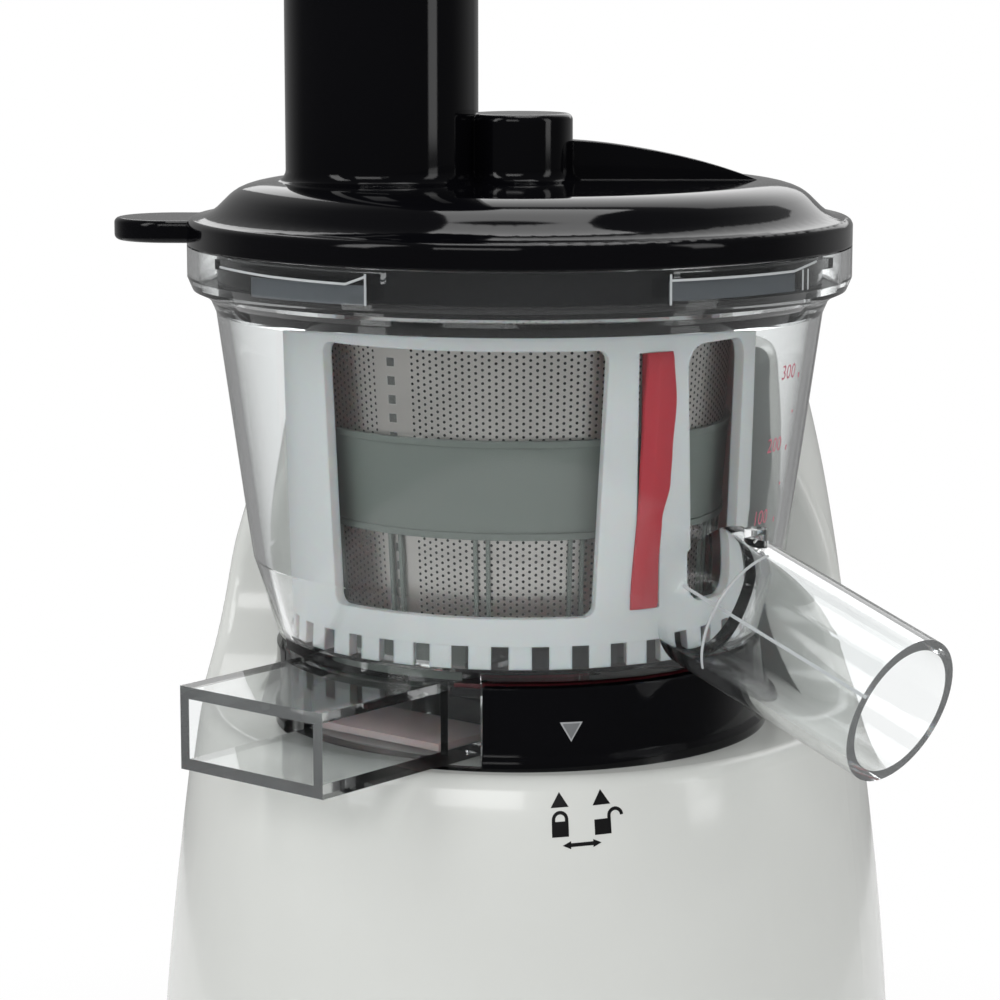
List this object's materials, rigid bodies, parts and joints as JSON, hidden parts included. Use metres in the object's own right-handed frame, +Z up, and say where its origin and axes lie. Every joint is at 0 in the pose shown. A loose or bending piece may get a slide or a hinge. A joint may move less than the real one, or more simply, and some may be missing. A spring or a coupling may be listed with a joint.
{
  "type": "cold press juicer",
  "caption": "Upright slow juicer: light motor base with a raised back, clear juicing bowl with juice and pulp spouts, black lid with feed tube and pusher.",
  "frame": {"origin": "on the counter under the vertical axis of the bowl and its auger", "axes": "+Z up along the bowl's axis, -Y towards the user, +X to the user's right"},
  "size_m": [0.1885, 0.2151, 0.4074],
  "materials": {
    "housing": "gloss",
    "cover": "matte",
    "feet": "matte",
    "screws": "satin",
    "motor_can": "satin",
    "bearings": "polished",
    "stator": "rough",
    "shafts": "polished",
    "fan": "matte",
    "metal_gears": "satin",
    "plastic_gears": "matte",
    "bush": "satin",
    "black_rubber": "matte",
    "gearbox": "cast",
    "board": "matte",
    "switch": "satin",
    "gland": "matte",
    "seat": "satin",
    "clear": "clear",
    "red_silicone": "matte",
    "foot_ring": "gloss",
    "milky_gears": "matte",
    "cage": "satin",
    "wipers": "matte",
    "mesh": "satin",
    "strainer_frame": "satin",
    "auger": "satin",
    "lid": "gloss"
  },
  "bodies": {
    "base": {"housing_shell": "housing", "bottom_cover": "cover", "rubber_foot_1": "feet", "rubber_foot_2": "feet", "rubber_foot_3": "feet", "rubber_foot_4": "feet", "cover_screws": "screws", "motor_can": "motor_can", "motor_bearing_low": "bearings", "motor_bearing_high": "bearings", "motor_stator": "stator", "output_bearing": "bearings", "deck_bush": "bush", "shaft_seal": "black_rubber", "gearbox_case": "gearbox", "gearbox_cover": "gearbox", "gearbox_screws": "screws", "control_board": "board", "switch_bezel": "switch", "cord_gland": "gland", "seat_ring": "seat", "seat_screws": "screws"},
    "rotor": {"rotor_shaft": "shafts", "rotor_core": "stator", "motor_fan": "fan", "motor_pinion": "metal_gears"},
    "lay": {"lay_wheel": "plastic_gears", "lay_pinion": "metal_gears", "lay_shaft": "shafts"},
    "output": {"output_wheel": "plastic_gears", "output_shaft": "shafts"},
    "rocker": {"rocker_switch": "switch"},
    "bowl": {"bowl": "clear", "shaft_ring": "red_silicone", "pulp_gate": "red_silicone", "bowl_foot_ring": "foot_ring", "foot_gasket": "red_silicone", "idler_pin": "shafts", "strainer_mesh": "mesh", "strainer_frame": "strainer_frame", "strainer_rim": "strainer_frame"},
    "idler": {"idler_gear": "milky_gears"},
    "cage": {"brush_cage": "cage", "wiper_1": "wipers", "wiper_2": "wipers"},
    "auger": {"auger": "auger", "drive_socket": "shafts", "sun_gear": "milky_gears"},
    "lid": {"lid": "lid", "lid_bushing": "bush", "lid_gasket": "black_rubber"},
    "pusher": {"pusher": "lid", "grip_ring": "black_rubber"}
  },
  "joints": [
    {"name": "output_spin", "type": "hinge", "parent": "base", "child": "output", "pos_m": [0, 0, 0.12], "axis": [0, 0, 1], "continuous": true},
    {"name": "lay_spin", "type": "hinge", "parent": "base", "child": "lay", "pos_m": [0, 0.0375, 0.115], "axis": [0, 0, 1], "continuous": true},
    {"name": "rotor_spin", "type": "hinge", "parent": "base", "child": "rotor", "pos_m": [0, 0.0075, 0.06], "axis": [0, 0, 1], "continuous": true},
    {"name": "switch_tilt", "type": "hinge", "parent": "base", "child": "rocker", "pos_m": [0, 0.12266, 0.118], "axis": [1, 0, 0], "range_deg": [-10, 10]},
    {"name": "bowl_twist", "type": "hinge", "parent": "base", "child": "bowl", "pos_m": [0, 0, 0.18], "axis": [0, 0, 1], "range_deg": [-4.15, 4.15]},
    {"name": "auger_spin", "type": "hinge", "parent": "bowl", "child": "auger", "pos_m": [0, 0, 0.2], "axis": [0, 0, 1], "continuous": true},
    {"name": "idler_spin", "type": "hinge", "parent": "bowl", "child": "idler", "pos_m": [0.03723, 0.00656, 0.2], "axis": [0, 0, 1], "continuous": true},
    {"name": "cage_spin", "type": "hinge", "parent": "bowl", "child": "cage", "pos_m": [0, 0, 0.24], "axis": [0, 0, 1], "continuous": true},
    {"name": "lid_turn", "type": "hinge", "parent": "bowl", "child": "lid", "pos_m": [0, 0, 0.287], "axis": [0, 0, 1], "range_deg": [0, 25]},
    {"name": "pusher_lift", "type": "slide", "parent": "lid", "child": "pusher", "axis": [0, 0, 1], "range_m": [0, 0.085]}
  ],
  "couplings": [
    {"joint": "lay_spin", "follows": "output_spin", "ratio": -4},
    {"joint": "rotor_spin", "follows": "output_spin", "ratio": 16},
    {"joint": "auger_spin", "follows": "output_spin", "ratio": 1},
    {"joint": "idler_spin", "follows": "output_spin", "ratio": -1.8},
    {"joint": "cage_spin", "follows": "output_spin", "ratio": -0.47368}
  ]
}
